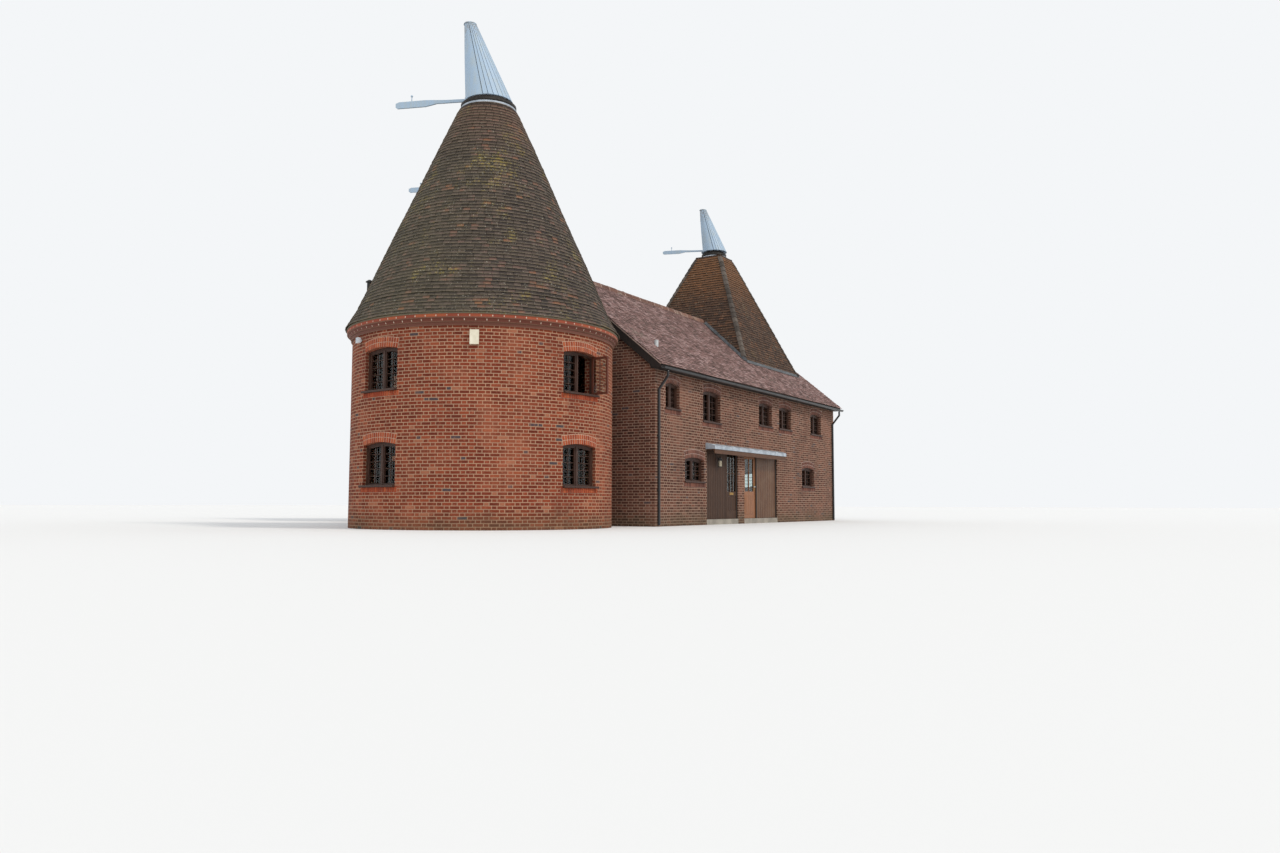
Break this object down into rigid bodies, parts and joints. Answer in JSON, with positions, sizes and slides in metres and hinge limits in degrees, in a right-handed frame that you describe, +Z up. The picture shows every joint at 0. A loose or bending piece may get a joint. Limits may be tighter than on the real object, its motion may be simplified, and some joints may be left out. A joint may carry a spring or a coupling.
{
  "type": "oast house",
  "caption": "Hop-drying house with round and square tapering kiln roofs, turning cowls with wind vanes, a long two-storey barn and a hinged glazed entrance door.",
  "frame": {"origin": "centre of the front round kiln at ground level, on the underside of its ground floor", "axes": "+X along the barn's ridge away from the front round kiln, +Z up, the long front with the entrance faces -Y"},
  "size_m": [19.5118, 12.937, 13.45],
  "materials": {
    "kiln_brick": "matte",
    "barn_brick": "matte",
    "kiln_tiles": "matte",
    "square_kiln_tiles": "matte",
    "barn_tiles": "matte",
    "ridge_clay": "matte",
    "lead": "matte",
    "wrought_iron": "matte",
    "painted_timber": "satin",
    "window_timber": "satin",
    "dark_timber": "satin",
    "oak": "satin",
    "floor_boards": "matte",
    "glass": "gloss",
    "black_plastic": "gloss",
    "grey_plastic": "matte",
    "beige_plastic": "matte",
    "lamp_metal": "satin",
    "flue_steel": "matte"
  },
  "bodies": {
    "building": {"front_kiln_wall_front": "kiln_brick", "front_kiln_wall_barn": "kiln_brick", "front_kiln_wall_back": "kiln_brick", "front_kiln_wall_left": "kiln_brick", "rear_kiln_wall_left": "kiln_brick", "rear_kiln_wall_barn": "kiln_brick", "rear_kiln_wall_right": "kiln_brick", "rear_kiln_wall_back": "kiln_brick", "kiln_floors": "floor_boards", "front_kiln_cornice": "kiln_brick", "rear_kiln_cornice": "kiln_brick", "front_kiln_roof": "kiln_tiles", "rear_kiln_roof": "kiln_tiles", "square_kiln_roof": "square_kiln_tiles", "kiln_curbs": "lead", "cowl_pins": "wrought_iron", "kiln_window_frames": "window_timber", "kiln_window_glass": "glass", "front_wall_low_left": "barn_brick", "front_wall_low_right": "barn_brick", "front_wall_up_left": "barn_brick", "front_wall_up_right": "barn_brick", "rear_wall_left": "barn_brick", "rear_wall_right": "barn_brick", "near_gable_wall": "barn_brick", "far_gable_wall": "barn_brick", "barn_ground_floor": "floor_boards", "barn_upper_floor": "floor_boards", "front_roof_slope": "barn_tiles", "rear_roof_slope": "barn_tiles", "ridge_tiles": "ridge_clay", "bargeboards": "dark_timber", "gutters": "black_plastic", "downpipes": "black_plastic", "barn_window_frames": "window_timber", "barn_window_glass": "glass", "canopy": "lead", "dark_screen": "dark_timber", "oak_screen": "oak", "outside_lamps": "lamp_metal", "wall_box": "beige_plastic", "stove_flue": "flue_steel", "vent_pipe": "grey_plastic"},
    "front_cowl": {"front_cowl": "painted_timber", "front_vane": "painted_timber"},
    "rear_cowl": {"rear_cowl": "painted_timber", "rear_vane": "painted_timber"},
    "square_cowl": {"square_cowl": "painted_timber", "square_vane": "painted_timber"},
    "entrance_door": {"entrance_door": "oak", "door_glass": "glass"}
  },
  "joints": [
    {"name": "front_cowl_turn", "type": "hinge", "parent": "building", "child": "front_cowl", "pos_m": [0, 0, 10.65], "axis": [0, 0, 1], "continuous": true},
    {"name": "rear_cowl_turn", "type": "hinge", "parent": "building", "child": "rear_cowl", "pos_m": [6.7, 6.11, 11.35], "axis": [0, 0, 1], "continuous": true},
    {"name": "square_cowl_turn", "type": "hinge", "parent": "building", "child": "square_cowl", "pos_m": [13.2, 0.3, 9.83], "axis": [0, 0, 1], "continuous": true},
    {"name": "entrance_door_hinge", "type": "hinge", "parent": "building", "child": "entrance_door", "pos_m": [8.336, -3.033, 0.15], "axis": [0, 0, 1], "range_deg": [0, 95]}
  ]
}
